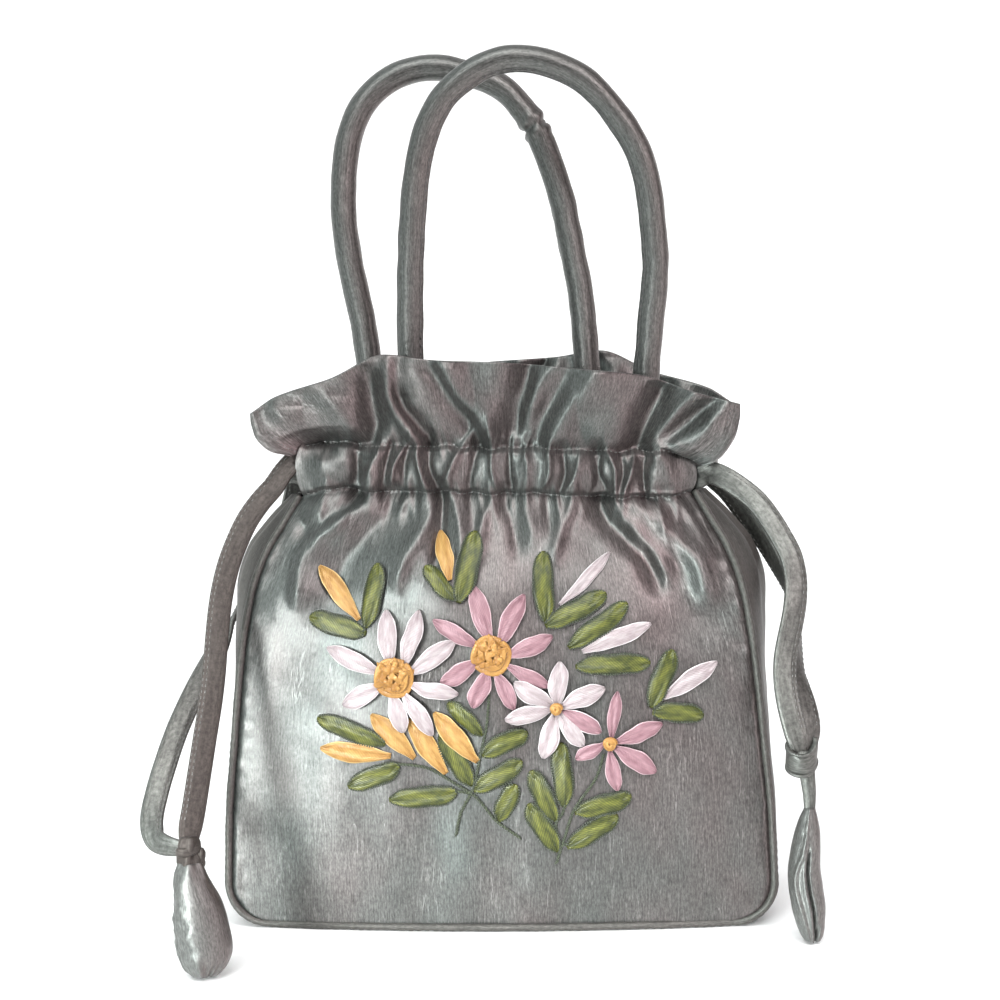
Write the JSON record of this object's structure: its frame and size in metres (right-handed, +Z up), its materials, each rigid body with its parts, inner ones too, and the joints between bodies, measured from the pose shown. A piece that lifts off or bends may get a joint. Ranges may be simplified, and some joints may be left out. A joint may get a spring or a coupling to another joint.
{
  "type": "drawstring reticule handbag",
  "caption": "Gathered satin drawstring handbag with a frilled top, padded loop handles, piped seams, ribbon embroidery and drawstrings that end in stuffed buds.",
  "frame": {"origin": "middle of the flat base, on the surface that the bag stands on", "axes": "+Z up, +X to the right as seen from the front, the embroidered front faces -Y"},
  "size_m": [0.2585, 0.1552, 0.3496],
  "materials": {
    "satin": "shot satin with fine slubs, silver grey with green and mauve lights",
    "string_satin": "the same satin, folded and stitched",
    "leaf_ribbon": "olive satin ribbon",
    "yellow_ribbon": "golden satin ribbon",
    "white_ribbon": "white satin ribbon",
    "pink_ribbon": "dusty pink satin ribbon"
  },
  "bodies": {
    "root": {"front_panel": "satin", "back_panel": "satin", "gusset": "satin", "front_piping": "satin", "back_piping": "satin", "front_handle": "satin", "back_handle": "satin", "drawstring_left_inside": "string_satin", "drawstring_right_inside": "string_satin", "drawstring_left_front": "string_satin", "drawstring_left_back": "string_satin", "drawstring_right_front": "string_satin", "drawstring_right_back": "string_satin", "left_knot": "string_satin", "left_bud": "string_satin", "right_knot": "string_satin", "right_bud": "string_satin", "yellow_bud_left": "yellow_ribbon", "yellow_bud_middle": "yellow_ribbon", "yellow_petal_1": "yellow_ribbon", "yellow_petal_2": "yellow_ribbon", "yellow_petal_3": "yellow_ribbon", "yellow_petal_4": "yellow_ribbon", "daisy_white": "white_ribbon", "small_daisy_white": "white_ribbon", "white_bud_upper": "white_ribbon", "white_bud_middle": "white_ribbon", "white_bud_right": "white_ribbon", "daisy_pink": "pink_ribbon", "small_daisy_pink": "pink_ribbon", "leaf_pair_left": "leaf_ribbon", "leaf_pair_middle": "leaf_ribbon", "leaf_pair_right": "leaf_ribbon", "leaf_right_middle": "leaf_ribbon", "leaf_right_lower": "leaf_ribbon", "leaf_pair_far_right": "leaf_ribbon", "leaf_far_left": "leaf_ribbon", "leaf_spray_middle": "leaf_ribbon", "leaf_spray_right": "leaf_ribbon"}
  },
  "joints": []
}
